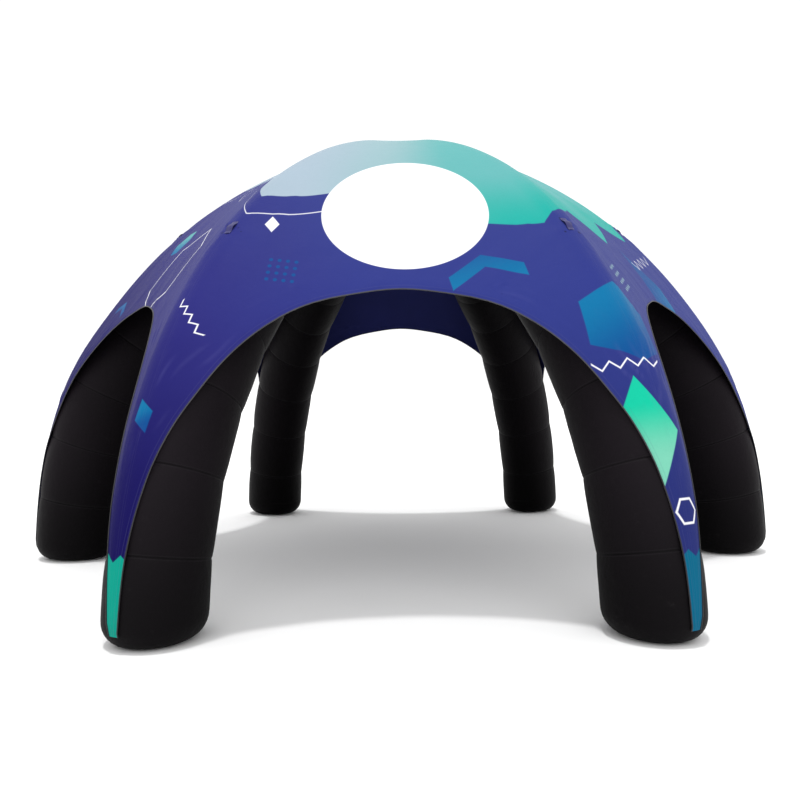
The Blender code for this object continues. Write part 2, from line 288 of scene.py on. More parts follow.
def half_sizes(t):
    """Half depth and half width of the tube at curve parameters t."""
    depth = (
        HALF_DEPTH_FOOT * (1 - t) * (1 - 2 * t)
        + HALF_DEPTH_MIDDLE * 4 * t * (1 - t)
        + HALF_DEPTH_CROWN * t * (2 * t - 1)
    )
    width = HALF_WIDTH_FOOT + (HALF_WIDTH_CROWN - HALF_WIDTH_FOOT) * t
    return depth, width


FINE_T = np.linspace(0.0, 1.0, FINE_SAMPLES + 1)
FINE_LENGTH = run_lengths(axis(REFERENCE_FOOT, FINE_T)[0])
SEAM_LENGTHS = SEAM_SPACING * np.arange(1, SEAM_COUNT + 1)
LEG_LENGTH = FINE_LENGTH[-1]


def at_length(length):
    """Curve parameter at a length along the reference leg."""
    return np.interp(length, FINE_LENGTH, FINE_T)


def length_at(t):
    """Length along the reference leg at a curve parameter."""
    return np.interp(t, FINE_T, FINE_LENGTH)


def leg_end(foot):
    """Curve parameter and length at which a leg's centre line meets the crown."""
    centre, _ = axis(foot, FINE_T)
    end_t = float(np.interp(-CROWN_REACH, -centre[:, 0], FINE_T))
    return end_t, float(length_at(end_t))


def ridge_heights(t):
    """Height of the reference leg's ridge at curve parameters t."""
    centre, tangent = axis(REFERENCE_FOOT, t)
    depth, _ = half_sizes(np.atleast_1d(t))
    return centre[:, 1] - tangent[:, 0] * depth


class Rings(namedtuple("Rings", "centre facing depth width length lean")):
    """Oval sections of a tube, one for each row: centre, facing, half sizes, length, lean."""

    def points(self, angles, lift=0.0):
        """Points at angles round from the ridge, pushed out square to the oval by lift."""
        depth = self.depth[:, None]
        width = self.width[:, None]
        normal_depth = np.cos(angles) / depth
        normal_width = np.sin(angles) / width
        size = np.hypot(normal_depth, normal_width)
        along = depth * np.cos(angles) + lift * normal_depth / size
        across = width * np.sin(angles) + lift * normal_width / size
        x = self.centre[:, :1] + self.facing[:, :1] * along
        z = self.centre[:, 1:] + self.facing[:, 1:] * along
        return np.stack((x, across, z), axis=-1)

    def row(self, i):
        """One ring on its own."""
        return Rings(*(field[i:i + 1] for field in self))


def joined(*runs):
    """Several runs of rings as one."""
    return Rings(*(np.concatenate(fields) for fields in zip(*runs)))


def trait_share(height):
    """How much of a leg's own traits shows at a height."""
    start, full = TRAIT_FADE
    return smooth((height - start) / (full - start))


def girth(leg, t, centre):
    """Half depth and half width of one leg's tube, with its own traits added."""
    depth, width = half_sizes(t)
    share = trait_share(centre[:, 1])
    return depth + LEG_TRAITS[leg][0] * share, width + LEG_TRAITS[leg][1] * share


def settled(points):
    """Points of the plain tent, moved as each real leg leans outwards and sideways."""
    points = np.array(points, float)
    heading = np.arctan2(points[:, 1], points[:, 0])
    share = trait_share(points[:, 2])
    moved = points.copy()
    for (_, azimuth, _), (_, _, shift, sideways, lean) in zip(LEGS, LEG_TRAITS):
        turn = math.radians(azimuth)
        away = np.abs(turned_from(heading, turn))
        near = share * np.cos(np.minimum(1.5 * away, math.pi / 2)) ** 2
        outwards = shift + lean * (points[:, 2] - LEAN_PIVOT)
        moved[:, 0] += near * (outwards * math.cos(turn) - sideways * math.sin(turn))
        moved[:, 1] += near * (outwards * math.sin(turn) + sideways * math.cos(turn))
    return moved


def leaning_rings(leg, t, tilt=None):
    """Sections square to the centre line, or turned towards upright by a share tilt."""
    t = np.atleast_1d(np.asarray(t, float))
    centre, tangent = axis(LEGS[leg][2], t)
    depth, width = girth(leg, t, centre)
    facing_angle = np.arctan2(tangent[:, 1], -tangent[:, 0])
    if tilt is not None:
        turned_by = facing_angle * tilt
        depth = depth / np.cos(turned_by)
        facing_angle = facing_angle - turned_by
    facing = np.stack((np.sin(facing_angle), np.cos(facing_angle)), axis=1)
    return Rings(centre, facing, depth, width, length_at(t), tangent[:, 1])


def foot_rings(leg, turns):
    """Level sections up the foot's rounded edge, at turns in degrees from the sole."""
    turn = np.radians(np.asarray(turns, float))
    height = FOOT_ROUND * (1 - np.cos(turn))
    inset = FOOT_ROUND * (1 - np.sin(turn))
    t = height / (3 * KNEE_HEIGHT)
    centre, tangent = axis(LEGS[leg][2], t)
    depth, width = girth(leg, t, centre)
    facing = np.tile((1.0, 0.0), (len(turn), 1))
    place = np.stack((centre[:, 0], height), axis=1)
    return Rings(place, facing, depth - inset, width - inset, height, tangent[:, 1])


def turned(points, azimuth, side=1):
    """Points from a leg's own frame, on one side of its ridge, in the tent's frame."""
    turn = math.radians(azimuth)
    x, y, z = points[..., 0], points[..., 1] * side, points[..., 2]
    return np.stack((
        x * math.cos(turn) - y * math.sin(turn),
        x * math.sin(turn) + y * math.cos(turn),
        z,
    ), axis=-1)


# ---- unevenness of the air frame ----

def swell(seed, u, v, waves, around=None):
    """Smooth unevenness between -1 and 1, as a sum of waves with seeded directions.

    waves is a list of (wavelength in metres, weight, count). With around set, u is an
    angle and the waves close up on themselves after a full turn.
    """
    rng = np.random.default_rng(seed)
    total = np.zeros(np.broadcast(u, v).shape)
    weight_sum = 0.0
    for wavelength, weight, count in waves:
        for _ in range(count):
            heading = rng.uniform(0, math.tau)
            phase = rng.uniform(0, math.tau)
            across = math.cos(heading) * math.tau / wavelength
            along = math.sin(heading) * math.tau / wavelength
            if around:
                across = float(round(across * around))
            total += weight * np.cos(across * u + along * v + phase)
        weight_sum += weight * math.sqrt(count)
    return np.clip(total / (1.6 * weight_sum), -1.0, 1.0)


def tube_lift(seed, length, angles, seams=True):
    """How far a tube's skin stands off its plain oval. It is never above it."""
    along = length[:, None]
    level = along * 0
    u = angles[None, :]

    def skin(step, v, waves):
        return swell(seed + step, u, v, waves, around=TUBE_RADIUS)

    lift = -SKIN_BROAD_DEPTH * (1 - skin(0, along, SKIN_BROAD))
    lift = lift - SKIN_FINE_DEPTH * (1 - skin(1, along, SKIN_FINE))
    if not seams:
        return lift
    wobble = SEAM_WOBBLE * skin(2, level, ((0.5, 1.0, 4),))
    outer = 0.45 + 0.55 * (0.5 + 0.5 * np.cos(u))
    for k, seam in enumerate(SEAM_LENGTHS):
        away = np.abs(along - seam - wobble)
        pillow = np.clip(1 - away / (SEAM_SPACING / 2), 0, 1)
        lift = lift - PILLOW_DEPTH * pillow ** PILLOW_POWER
        depth = np.clip(0.5 + 0.7 * skin(10 + k, level, ((0.4, 1.0, 5),)), 0.1, 1) * outer
        lift = lift - GROOVE_DEPTH * depth * np.exp(-(away / GROOVE_WIDTH) ** 2)
        pucker = PUCKER_DEPTH * (1 - skin(30 + k, level, PUCKERS))
        lift = lift - pucker * depth * np.exp(-away / PUCKER_REACH)
    return lift


def end_squeeze(away):
    """How far a tube is drawn in, at distances from its end at the joint with the crown."""
    return SQUEEZE_DEPTH * np.clip(1 - away / SQUEEZE_REACH, 0, 1)[:, None] ** 2


# ---- meshes ----

def grid_faces(rows, columns, closed):
    """Faces of a grid of points, row by row; closed wraps the columns round."""
    faces = []
    for i in range(rows - 1):
        for j in range(columns if closed else columns - 1):
            k = (j + 1) % columns
            low = i * columns
            high = low + columns
            faces.append((low + j, low + k, high + k, high + j))
    return faces


def capped_tube(grid):
    """Closed mesh data from rings of points, each end closed by a fan."""
    rows, columns, _ = grid.shape
    verts = grid.reshape(-1, 3).tolist()
    faces = grid_faces(rows, columns, True)
    for ring, flip in ((0, True), (rows - 1, False)):
        centre = len(verts)
        verts.append(grid[ring].mean(axis=0).tolist())
        for j in range(columns):
            a = ring * columns + j
            b = ring * columns + (j + 1) % columns
            faces.append((b, a, centre) if flip else (a, b, centre))
    return verts, faces


def tube_uv(around, lengths):
    """UV pairs in metres for the rings of a capped tube and the middles of its ends."""
    rings = np.stack((np.tile(around, len(lengths)), np.repeat(lengths, len(around))), axis=1)
    return np.concatenate((rings, ((0.0, 0.0), (0.0, lengths[-1]))))


def new_object(name, data):
    """An object in the scene."""
    made = bpy.data.objects.new(name, data)
    bpy.context.scene.collection.objects.link(made)
    return made


def make_object(name, verts, faces, material, sharp=None):
    """A mesh object with one material and smooth shading."""
    data = bpy.data.meshes.new(name)
    data.from_pydata(settled(verts).tolist(), [], faces)
    data.validate()
    data.shade_smooth()
    if sharp is not None:
        data.set_sharp_from_angle(angle=math.radians(sharp))
    data.materials.append(material)
    return new_object(name, data)


@contextmanager
def editing(obj):
    """An object's mesh, open for a change."""
    mesh = bmesh.new()
    mesh.from_mesh(obj.data)
    yield mesh
    mesh.to_mesh(obj.data)
    mesh.free()


def face_outwards(obj):
    """Turn a closed mesh's faces outwards."""
    with editing(obj) as mesh:
        bmesh.ops.recalc_face_normals(mesh, faces=mesh.faces)


def vertex_vectors(obj, name):
    """Each vertex's place (co) or normal."""
    values = np.zeros(len(obj.data.vertices) * 3)
    obj.data.vertices.foreach_get(name, values)
    return values.reshape(-1, 3)


def float_attribute(obj, name, values):
    """Store one number for each vertex."""
    layer = obj.data.attributes.new(name, "FLOAT", "POINT")
    layer.data.foreach_set("value", np.asarray(values, np.float32).ravel())


def uv_from(obj, values):
    """A UV map from a pair of numbers for each vertex."""
    layer = obj.data.uv_layers.new(name="UVMap")
    index = np.zeros(len(obj.data.loops), np.int32)
    obj.data.loops.foreach_get("vertex_index", index)
    layer.data.foreach_set("uv", np.asarray(values, np.float32)[index].ravel())


def leg_rings(leg):
    """Rings of one leg, from the edge of its sole to where it meets the crown."""
    base = foot_rings(leg, np.linspace(0.0, 90.0, FOOT_STEPS + 1))
    start = base.length[-1]
    end_t, end = leg_end(LEGS[leg][2])
    lengths = set(np.round(np.arange(start + LEG_STEP, end - LEG_STEP / 2, LEG_STEP), 5))
    for seam in SEAM_LENGTHS:
        lengths = {x for x in lengths if abs(x - seam) > SEAM_OFFSETS[-1] + SEAM_CLEARANCE}
        for offset in (0.0, *SEAM_OFFSETS):
            lengths.update((round(seam - offset, 5), round(seam + offset, 5)))
    lengths = [x for x in lengths if start + ROW_CLEARANCE < x < end - ROW_CLEARANCE]
    lengths = np.array(sorted(lengths) + [end])
    t = at_length(lengths)
    t[-1] = end_t
    return joined(base, leaning_rings(leg, t, smooth(1 - (end - lengths) / TILT_REACH)))


def build_leg(index, material):
    """One air-filled leg with its seams, puckers and rounded foot."""
    name, azimuth, _ = LEGS[index]
    rings = leg_rings(index)
    angles = circle(LEG_SIDES)
    lift = tube_lift(100 * (index + 1), rings.length, angles)
    lift -= end_squeeze(rings.length[-1] - rings.length)
    lift *= np.clip(rings.length / FOOT_CALM, 0, 1)[:, None]
    grid = rings.points(angles, lift)
    grid[..., 2] = np.maximum(grid[..., 2], 0.0)
    grid[-1, :, 0] = CROWN_REACH + JOINT_GAP
    sole = grid[0]
    middle = sole.mean(axis=0)
    inner = [middle + (sole - middle) * share for share in SOLE_SHARES]
    grid = np.concatenate((np.array(inner), grid))
    length = np.concatenate((np.zeros(len(inner)), rings.length))
    leg = make_object("soft_leg_" + name, *capped_tube(turned(grid, azimuth)), material)
    uv = tube_uv(angles * TUBE_RADIUS, length)
    uv_from(leg, uv)
    # how far round to the inner side each point lies; the material darkens the legs there as
    # painted shade
    shaded = np.tile(0.5 - 0.5 * np.cos(angles), len(length))
    float_attribute(leg, "inner", np.concatenate((shaded, (0.5, 0.5))))
    float_attribute(leg, "seam", np.abs(uv[:, 1:] - SEAM_LENGTHS).min(axis=1))
    return leg


def crown_arch(index):
    """One of the crown's tubes, from one leg to the leg across, as mesh data."""
    _, azimuth, foot = LEGS[index]
    end_t, end = leg_end(foot)
    upper = np.linspace(end + CROWN_ROWS_FROM, LEG_LENGTH, CROWN_STEPS)
    lengths = np.concatenate((end + np.array(CROWN_STARTS), upper))
    t = at_length(lengths)
    t[0] = end_t
    rings = leaning_rings(index, t, smooth(1 - (lengths - end) / TILT_REACH))
    angles = circle(LEG_SIDES)
    lift = tube_lift(900 + index, rings.length, angles, seams=False)
    lift = lift - end_squeeze(lengths - end) - CROWN_STEP_IN * index
    near = rings.points(angles, lift)
    near[0, :, 0] = CROWN_REACH - JOINT_GAP
    far = near[-2::-1].copy()
    far[..., 0] *= -1
    return capped_tube(turned(np.concatenate((near, far)), azimuth))


def build_crown(material):
    """The crown: three crossing tubes joined into one skin."""
    crown = None
    for index in range(3):
        name = "soft_crown" if index == 0 else f"crown_arch_{index}"
        arch = make_object(name, *crown_arch(index), material)
        face_outwards(arch)
        if crown is None:
            crown = arch
            continue
        union = crown.modifiers.new("join", "BOOLEAN")
        union.operation = "UNION"
        union.solver = "EXACT"
        union.object = arch
        depsgraph = bpy.context.evaluated_depsgraph_get()
        data = bpy.data.meshes.new_from_object(crown.evaluated_get(depsgraph))
        crown.modifiers.clear()
        crown.data = data
        bpy.data.objects.remove(arch)
    with editing(crown) as mesh:
        bmesh.ops.remove_doubles(mesh, verts=mesh.verts, dist=CROWN_WELD)
        bmesh.ops.dissolve_degenerate(mesh, edges=mesh.edges, dist=CROWN_WELD)
    crown.data.shade_smooth()
    crown.data.set_sharp_from_angle(angle=math.radians(CROWN_SHARP_ANGLE))
    places = vertex_vectors(crown, "co")
    uv_from(crown, places[:, :2])
    reach = np.hypot(places[:, 0], places[:, 1])
    float_attribute(crown, "seam", np.abs(reach - CROWN_REACH) + CROWN_SEAM_OFFSET)
    return crown


# ---- canopy ----

def smooth_interp(x, known_x, known_y):
    """Cubic interpolation with slopes taken from the neighbouring points."""
    slopes = np.gradient(known_y, known_x)
    i = np.clip(np.searchsorted(known_x, x) - 1, 0, len(known_x) - 2)
    width = known_x[i + 1] - known_x[i]
    u = (x - known_x[i]) / width
    return (
        (2 * u ** 3 - 3 * u ** 2 + 1) * known_y[i]
        + (u ** 3 - 2 * u ** 2 + u) * width * slopes[i]
        + (-2 * u ** 3 + 3 * u ** 2) * known_y[i + 1]
        + (u ** 3 - u ** 2) * width * slopes[i + 1]
    )


def edge_widths(heights, kind, apex_width, tuck):
    """Half width of the canopy at ridge heights, under one kind of arch, less any tuck."""
    table = np.array(EDGE_TABLE)[::-1]
    falls = np.concatenate(((0.0,), np.sqrt(1.0 - table[:, 0] / ARCH_TOP)))
    widths = np.concatenate(((apex_width,), table[:, EDGE_COLUMNS.index(kind)]))
    here = np.sqrt(np.clip(1.0 - heights / ARCH_TOP, 0, None))
    found = smooth_interp(here, falls, widths)
    if tuck is None:
        return found
    depth, start, middle, end = tuck
    tucked = rising(heights, start, middle - start) * falling(heights, end, end - middle)
    return found - depth * tucked ** TUCK_POWER


def canopy_lengths():
    """Lengths along the leg at which the canopy has a row, and that of the arches' top."""
    half = FINE_SAMPLES // 2
    heights = ARCH_TOP * (1 - np.array((0.0, *APEX_STEPS)) ** 2)
    top, *apex = length_at(np.interp(heights, ridge_heights(FINE_T)[:half], FINE_T[:half]))
    lowest = min(apex)
    tail = np.arange(FOOT_ROUND, TAIL_TOP, TAIL_STEP)
    count = int(round((lowest - TAIL_TOP) / CANOPY_STEP))
    middle = np.linspace(TAIL_TOP, lowest, count, endpoint=False)
    count = int(round((LEG_LENGTH - top) / CANOPY_STEP))
    upper = np.linspace(top, LEG_LENGTH, count + 1)
    return np.concatenate((tail, middle, sorted(apex), upper)), top


def cloth_lift(angle):
    """How far the canopy's inner face lies off the tube, at angles from the ridge."""
    part = np.minimum(angle / FULL_LIFT_ANGLE, 1.0)
    return CLOTH_LIFT_RIDGE + (CLOTH_LIFT_SIDE - CLOTH_LIFT_RIDGE) * part


def leaving(rings):
    """Angle at which the canopy leaves each ring, and the point there."""
    flat = rings.width / rings.depth
    angle = np.arctan(math.tan(SPAN_ANGLE) * rings.lean * flat)
    return angle, rings.points(angle[:, None], cloth_lift(angle)[:, None])[:, 0]


def half_panel(arch, first):
    """One half of an arch's panel, as a grid of points.

    Also gives its side of the leg, the row of the arch's top, and each point's distance
    from the ridge and length along the leg.
    """
    _, leg, kind = ARCHES[arch]
    owner, side = (leg, 1) if first else ((leg + 1) % len(LEGS), -1)
    other = (owner + side) % len(LEGS)
    lengths, top = canopy_lengths()
    t = at_length(lengths)
    turns = np.linspace(TAIL_END_TURN, 90.0, 3)[:-1]
    rings = joined(foot_rings(owner, turns), leaning_rings(owner, t))
    partner = joined(foot_rings(other, turns), leaning_rings(other, t))
    heights = np.concatenate((np.zeros(len(turns)), ridge_heights(t)))

    # each row lies on the tube up to the leaving angle, then spans to the next leg
    angle, start = leaving(rings)
    _, end = leaving(partner)
    start = turned(start, LEGS[owner][1], side)
    end = turned(end, LEGS[other][1], -side)
    middle = (start + end) / 2
    half_span = np.linalg.norm(middle - start, axis=1)
    round_angles = angle[:, None] * np.linspace(0, 1, ARC_STEPS)
    arc = run_lengths(rings.points(round_angles))
    on_tube = arc[:, -1]

    full = on_tube + half_span
    top_row = len(turns) + int(np.argmin(np.abs(lengths - top)))
    below = np.arange(len(full)) < top_row
    tuck = TUCKS.get(LEGS[owner][0].split("_")[0] + "_" + kind)
    width = np.where(below, edge_widths(heights, kind, full[top_row], tuck), full)
    width[below] = np.minimum(width[below], full[below] * WIDEST_SHARE)

    lean = (rings.lean + partner.lean) / 2
    outward = middle * (1.0, 1.0, 0.0)
    size = np.linalg.norm(outward, axis=1)[:, None]
    outward = np.where(size > TINY, outward / np.maximum(size, TINY), outward)
    inward = -(outward * lean[:, None])
    inward[:, 2] -= np.sqrt(np.clip(1 - lean ** 2, 0, 1))

    across = width[:, None] * np.linspace(0, 1, CANOPY_COLUMNS + 1)
    grid = np.zeros(across.shape + (3,))
    for i, w in enumerate(across):
        a = np.interp(w, arc[i], round_angles[i])
        on = turned(rings.row(i).points(a, cloth_lift(a))[0], LEGS[owner][1], side)
        part = np.ones((len(w), 1))
        if half_span[i] > TINY:
            part = np.clip((w - on_tube[i]) / half_span[i], 0, 1)[:, None]
        sag = CHORD_SAG * half_span[i] * (1 - (1 - part) ** 2)
        off = start[i] + (middle[i] - start[i]) * part + inward[i] * sag
        grid[i] = np.where((w <= on_tube[i])[:, None], on, off)
    along = np.broadcast_to(rings.length[:, None], across.shape)
    return grid, side, top_row, {"ridge": across, "along": along}


def edge_distance(grid, top_row):
    """Straight distance from each point of a half panel to its arch's edge."""
    edge = grid[:top_row + 1, -1]
    flat = grid.reshape(-1, 3)
    away = np.full(len(flat), FAR)
    for a, b in zip(edge, edge[1:]):
        line = b - a
        part = np.clip(((flat - a) @ line) / max(line @ line, 1e-12), 0, 1)
        away = np.minimum(away, np.linalg.norm(flat - a - part[:, None] * line, axis=1))
    return away.reshape(grid.shape[:2])


def build_canopy(under):
    """The printed canopy: one continuous sheet with two faces and a rim."""
    mesh = bmesh.new()
    layers = {name: mesh.verts.layers.float.new(name) for name in ("edge", "ridge", "along")}
    for arch in range(len(ARCHES)):
        for first in (True, False):
            grid, side, top_row, facts = half_panel(arch, first)
            facts["edge"] = edge_distance(grid, top_row)
            made = []
            for i, points in enumerate(grid):
                made.append([mesh.verts.new(point) for point in points])
                for j, vert in enumerate(made[-1]):
                    for name, layer in layers.items():
                        vert[layer] = facts[name][i, j]
            for lower, upper in zip(made, made[1:]):
                for j in range(len(lower) - 1):
                    corners = (lower[j], lower[j + 1], upper[j + 1], upper[j])
                    mesh.faces.new(corners if side > 0 else corners[::-1])
    bmesh.ops.remove_doubles(mesh, verts=mesh.verts, dist=SHEET_WELD)
    bmesh.ops.dissolve_degenerate(mesh, edges=mesh.edges, dist=SHEET_WELD / 10)
    mesh.normal_update()
    mesh.verts.index_update()

    place = np.array([v.co for v in mesh.verts])
    normal = np.array([v.normal for v in mesh.verts])
    fact = {name: np.array([v[layer] for v in mesh.verts]) for name, layer in layers.items()}
    fact["crest"] = haunch_crests(place, fact)
    inner = place + normal * cloth_unevenness(place, fact)[:, None]
    outer = inner + normal * CLOTH_THICKNESS
    count = len(inner)
    faces = [tuple(v.index for v in f.verts) for f in mesh.faces]
    rim = []
    for edge in mesh.edges:
        if edge.is_boundary:
            loop = edge.link_loops[0]
            a, b = loop.vert.index, loop.link_loop_next.vert.index
            rim.append((b, a, a + count, b + count))
    mesh.free()
    verts = np.concatenate((outer, inner)).tolist()
    under_faces = [tuple(count + i for i in reversed(f)) for f in faces]
    canopy = make_object("soft_canopy", verts, faces + rim + under_faces, under, sharp=SHARP_ANGLE)
    canopy.data.materials.append(under)
    index = np.zeros(len(canopy.data.polygons), np.int32)
    index[len(faces) + len(rim):] = 1
    canopy.data.polygons.foreach_set("material_index", index)
    for name in fact:
        float_attribute(canopy, name, np.tile(fact[name], 2))
    uv_from(canopy, np.tile(np.stack((fact["ridge"], fact["along"]), axis=1), (2, 1)))
    return canopy


def cloth_unevenness(place, fact):
    """How far the taut cloth stands proud of its plain shape: faint folds and pulls."""
    x, y, z = place.T
    edge = fact["edge"]
    lift = CLOTH_BROAD_HEIGHT * (1 + swell(7, x, y + 0.7 * z, CLOTH_BROAD))
    slack = rising(fact["ridge"], *SLACK_START)
    folds = swell(9, x - 0.5 * y, z * 1.2, SLACK_FOLDS)
    lift = lift + SLACK_HEIGHT * slack * (0.5 + 0.5 * folds)
    near_edge = np.exp(-edge / RIPPLE_REACH)
    ripple = 0.5 + 0.5 * np.cos(math.tau * edge / RIPPLE_PITCH)
    patch = np.clip(0.2 + swell(8, x + 0.4 * y, z, ((0.9, 1.0, 6),)), 0, 1)
    above_tail = rising(z, *TAIL_CALM)
    lift = lift + RIPPLE_HEIGHT * near_edge * ripple * patch * above_tail
    lift = lift + arch_folds(place, fact) + loop_pulls(place, fact) + crown_creases(fact)
    lift = lift + HAUNCH_PULL * fact["crest"]
    return lift * np.clip(edge / 0.03, 0.15, 1)


def arch_folds(place, fact):
    """Low folds that start square to the arches' edges and die out above them."""
    heading = np.arctan2(place[:, 1], place[:, 0])
    out = np.hypot(place[:, 0], place[:, 1])
    rng = np.random.default_rng(41)
    lift = np.zeros(len(place))
    for arch in range(len(ARCHES)):
        for _ in range(FOLDS_PER_ARCH):
            middle = math.radians(60.0 * arch + 30.0 + rng.uniform(*FOLD_TURNS))
            slant, width, height, reach = (
                rng.uniform(*limits)
                for limits in (FOLD_SLANTS, FOLD_WIDTHS, FOLD_HEIGHTS, FOLD_REACHES)
            )
            away = turned_from(heading, middle) * out + slant * np.minimum(fact["edge"], 1.0)
            lift += height * np.exp(-(away / width) ** 2) * np.exp(-fact["edge"] / reach)
    return lift


def haunch_crests(place, fact):
    """Share of a tension wrinkle's height, beside the arches' edges where cloth meets leg."""
    x, y, z = place.T
    edge = fact["edge"]
    haunch = rising(z, *HAUNCH_FOOT) * falling(z, *HAUNCH_TOP)
    band = rising(edge, *HAUNCH_NEAR) * falling(edge, *HAUNCH_FAR)
    bend = swell(61, x, y + z, ((0.55, 1.0, 7),))
    crest = np.clip(np.cos(math.tau * (edge + 0.03 * bend) / HAUNCH_PITCH), 0, 1)
    patch = swell(62, x - y, z, HAUNCH_PATCHES)
    return haunch * band * crest ** 1.5 * np.clip(patch * 1.6 - 0.1, 0, 1)


def loop_pulls(place, fact):
    """Creases that run out from each guy loop, where its webbing pulls the cloth."""
    heading = np.arctan2(place[:, 1], place[:, 0])
    lift = np.zeros(len(place))
    rng = np.random.default_rng(53)
    for name, azimuth, _ in LEGS:
        phase, second = rng.uniform(0, math.tau, 2)
        turn = turned_from(heading, math.radians(azimuth))
        aside = fact["ridge"] * np.sign(turn)
        up = fact["along"] - LOOP_AT[name.split("_")[0]]
        away = np.hypot(aside, up)
        spoke = np.arctan2(aside, up)
        star = 0.6 * np.cos(7 * spoke + phase) + 0.4 * np.cos(4 * spoke + second)
        near = np.exp(-away / LOOP_PULL_REACH) * (1 - np.exp(-(away / 0.05) ** 2))
        near = near * (np.abs(turn) < 0.5)
        lift += LOOP_PULL * near * np.clip(0.25 + star, 0, 1.4)
    return lift


def crown_creases(fact):
    """Long soft creases where the cloth leaves the tubes towards the next leg."""
    away = fact["ridge"] - CREASE_FROM_RIDGE - 0.03 * np.sin(3.1 * fact["along"])
    high = rising(fact["along"], *CREASE_FOOT) * falling(fact["along"], *CREASE_TOP)
    return CREASE_HEIGHT * high * np.exp(-(away / CREASE_WIDTH) ** 2)


# ---- piping and loops ----

def build_piping(arch, material):
    """The cord sewn round one arch of the canopy."""
    halves = []
    for first in (True, False):
        grid, side, top_row, _ = half_panel(arch, first)
        edge = grid[:top_row + 1, -1]
        before = grid[:top_row + 1, -2]
        normal = np.cross(edge - before, np.gradient(edge, axis=0)) * side
        halves.append((edge, unit(normal)))
    edge, normal = (np.concatenate((one, two[-2::-1])) for one, two in zip(*halves))
    outward = np.cross(unit(np.gradient(edge, axis=0)), normal)
    path = edge + outward * (PIPING_RADIUS + PIPING_GAP) + normal * PIPING_RADIUS
    turns = circle(PIPING_SIDES)
    across = outward[:, None] * np.cos(turns)[:, None] - normal[:, None] * np.sin(turns)[:, None]
    verts, faces = capped_tube(path[:, None] + PIPING_RADIUS * across)
    name = "soft_piping_" + ARCHES[arch][0]
    piping = make_object(name, verts, faces, material, sharp=SHARP_ANGLE)
    uv_from(piping, tube_uv(turns * PIPING_RADIUS, run_lengths(path)))
    return piping


def build_loop(index, material):
    """A guy loop: webbing folded into a low loop and sewn down at both ends."""
    name, azimuth, _ = LEGS[index]
    steps = np.linspace(-0.5, 0.5, LOOP_ROWS)
    middle = LOOP_AT[name.split("_")[0]]
    ring = leaning_rings(index, at_length(middle + steps * LOOP_LENGTH))
    rise = LOOP_RISE * np.clip(1 - (steps / LOOP_FREE) ** 2, 0, 1) ** 1.4
    half_turn = LOOP_WIDTH / 2 / HALF_WIDTH_CROWN
    angles = np.linspace(-half_turn, half_turn, LOOP_COLUMNS)
    base = CLOTH_LIFT_RIDGE + CLOTH_THICKNESS + LOOP_CLEARANCE
    bow = LOOP_BOW * np.cos(angles / half_turn * math.pi / 2)
    low = ring.points(angles, base + rise[:, None] + bow)
    high = ring.points(angles, base + LOOP_THICKNESS + rise[:, None] + bow)
    count = LOOP_ROWS * LOOP_COLUMNS
    top = grid_faces(LOOP_ROWS, LOOP_COLUMNS, False)
    faces = top + [tuple(count + i for i in reversed(f)) for f in top]
    grid = np.arange(count).reshape(LOOP_ROWS, LOOP_COLUMNS)
    border = (grid[0], grid[1:, -1], grid[-1, -2::-1], grid[-2:0:-1, 0])
    border = np.concatenate(border).tolist()
    for a, b in zip(border, border[1:] + border[:1]):
        faces.append((b, a, a + count, b + count))
    verts = turned(np.concatenate((high.reshape(-1, 3), low.reshape(-1, 3))), azimuth)
    loop = make_object("soft_guy_loop_" + name, verts, faces, material, sharp=LOOP_SHARP_ANGLE)
    face_outwards(loop)
    across, along = np.tile(angles, LOOP_ROWS), np.repeat(steps, LOOP_COLUMNS)
    uv = np.stack((across * HALF_WIDTH_CROWN, along * LOOP_LENGTH), axis=1)
    uv_from(loop, np.tile(uv, (2, 1)))
    return loop


# ---- node graphs ----

SHEEN_ROUGHNESS = 0.45


def step(operation, flip=False):
    """A method that adds one step of arithmetic; flip puts the other value first."""
    def method(self, *other):
        return self.graph.math(operation, *((*other, self) if flip else (self, *other)))
    return method


class Value:
    """A number in a material's node graph, with the usual arithmetic.

    part() is what is left over the whole number below, above() is one where this is
    larger and zero elsewhere, and high() and low() are the larger and smaller of two.
    """

    def __init__(self, graph, socket):
        self.graph = graph
        self.socket = socket

    __add__ = __radd__ = step("ADD")
    __sub__ = step("SUBTRACT")
    __rsub__ = step("SUBTRACT", flip=True)
    __mul__ = __rmul__ = step("MULTIPLY")
    __truediv__ = step("DIVIDE")
    __abs__ = step("ABSOLUTE")
    high = step("MAXIMUM")
    low = step("MINIMUM")
    sine = step("SINE")
    part = step("FRACT")
    above = step("GREATER_THAN")
    power = step("POWER")

    def ramp(self, start, end):
        """Zero up to start, one from end on, and smooth between."""
        inputs = {"Value": self, "From Min": start, "From Max": end}
        made = self.graph.node("MapRange", inputs, interpolation_type="SMOOTHSTEP")
        return Value(self.graph, made.outputs["Result"])


